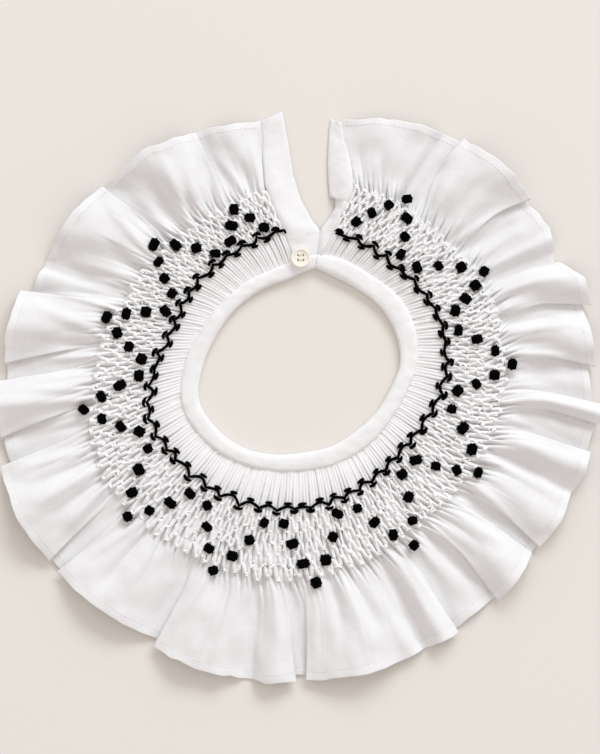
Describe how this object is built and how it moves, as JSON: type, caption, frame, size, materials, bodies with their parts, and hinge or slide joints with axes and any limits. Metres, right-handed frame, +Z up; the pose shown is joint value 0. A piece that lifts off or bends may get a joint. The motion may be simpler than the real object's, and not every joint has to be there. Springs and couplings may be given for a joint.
{
  "type": "smocked ruffled collar",
  "caption": "Round cotton collar lying flat: a smocked neck with black stitches and knots, a wide ruffled edge, a bound neck and a button.",
  "frame": {"origin": "on the surface that the collar lies on, under the middle of its outline", "axes": "+Z up from the surface, +Y towards the opening with the button, +X to the right seen from above"},
  "size_m": [0.3654, 0.343, 0.0158],
  "materials": {
    "cotton": "matte woven cotton",
    "binding": "matte bias-cut cotton",
    "black_thread": "stranded thread",
    "resin": "satin resin"
  },
  "bodies": {
    "root": {"smocked_ruffle": "cotton", "neckband": "binding", "placket_left": "cotton", "placket_right": "cotton", "wave_stitch": "black_thread", "button": "resin"}
  },
  "joints": []
}
